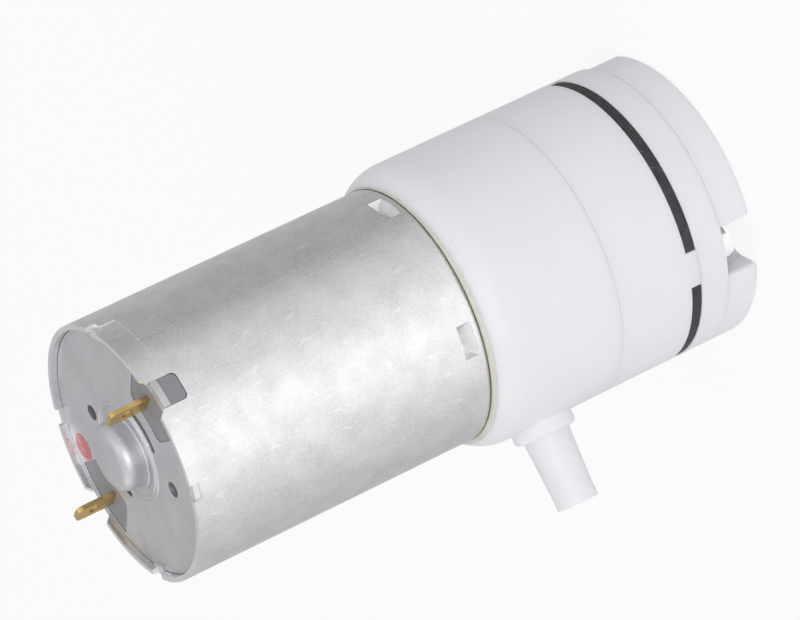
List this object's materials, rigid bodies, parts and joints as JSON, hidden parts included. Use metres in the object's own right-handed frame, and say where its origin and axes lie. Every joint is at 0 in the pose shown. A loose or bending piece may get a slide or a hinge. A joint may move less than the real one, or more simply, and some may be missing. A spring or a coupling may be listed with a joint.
{
  "type": "air pump",
  "caption": "Small diaphragm air pump: a round white head with a side nozzle, clamped over black rubber, driven by a cylindrical motor with two brass blades.",
  "frame": {"origin": "centre of the head cover's flat outer face", "axes": "+Z along the pump from the head cover to the motor's rear, +X along the suction nozzle"},
  "size_m": [0.0351, 0.0272, 0.0619],
  "materials": {
    "white_plastic": "satin moulded, slightly translucent",
    "black_rubber": "matt moulded",
    "clear_rubber": "silky silicone",
    "zinc_steel": "spangled zinc plating",
    "plate_steel": "satin plating with fine bright specks",
    "screw_steel": "bright nickel plating",
    "grey_plastic": "satin moulded",
    "terminal_brass": "rolled, lightly tarnished",
    "cream_gasket": "matt foam",
    "ferrite": "sintered ferrite",
    "sintered_bronze": "oily sintered bronze",
    "carbon": "pressed carbon",
    "lamination_steel": "stacked laminations",
    "copper": "enamelled wire",
    "black_plastic": "satin moulded",
    "shaft_steel": "ground"
  },
  "bodies": {
    "pump_body": {"cover": "white_plastic", "cover_screws": "screw_steel", "valve_plate": "white_plastic", "outlet_valve": "clear_rubber", "inlet_valves": "clear_rubber", "diaphragm": "black_rubber", "diaphragm_seat": "white_plastic", "crankcase": "white_plastic", "motor_screws": "screw_steel", "motor_gasket": "cream_gasket", "motor_can": "zinc_steel", "front_bearing": "sintered_bronze", "magnet_a": "ferrite", "magnet_b": "ferrite", "motor_end_plate": "plate_steel", "rear_bearing": "sintered_bronze", "brush_holder": "grey_plastic", "terminal_negative": "terminal_brass", "terminal_positive": "terminal_brass", "brush_arms": "terminal_brass", "carbon_brushes": "carbon"},
    "rotor": {"motor_shaft": "shaft_steel", "crank": "black_plastic", "thrust_washers": "black_plastic", "shaft_spacer": "black_plastic", "armature_core": "lamination_steel", "armature_coils": "copper", "commutator_hub": "black_plastic", "commutator_segments": "copper"},
    "bracket": {"swing_bracket": "white_plastic", "bracket_pin": "shaft_steel"}
  },
  "joints": [
    {"name": "rotor_spin", "type": "hinge", "parent": "pump_body", "child": "rotor", "pos_m": [0, 0, 0.04], "axis": [0, 0, 1], "continuous": true},
    {"name": "bracket_nod", "type": "hinge", "parent": "rotor", "child": "bracket", "pos_m": [0, 0, 0.0123], "axis": [0.1045, 0, 0.9945], "continuous": true, "deforming": ["diaphragm"]}
  ],
  "couplings": [
    {"joint": "bracket_nod", "follows": "rotor_spin", "ratio": -1}
  ]
}
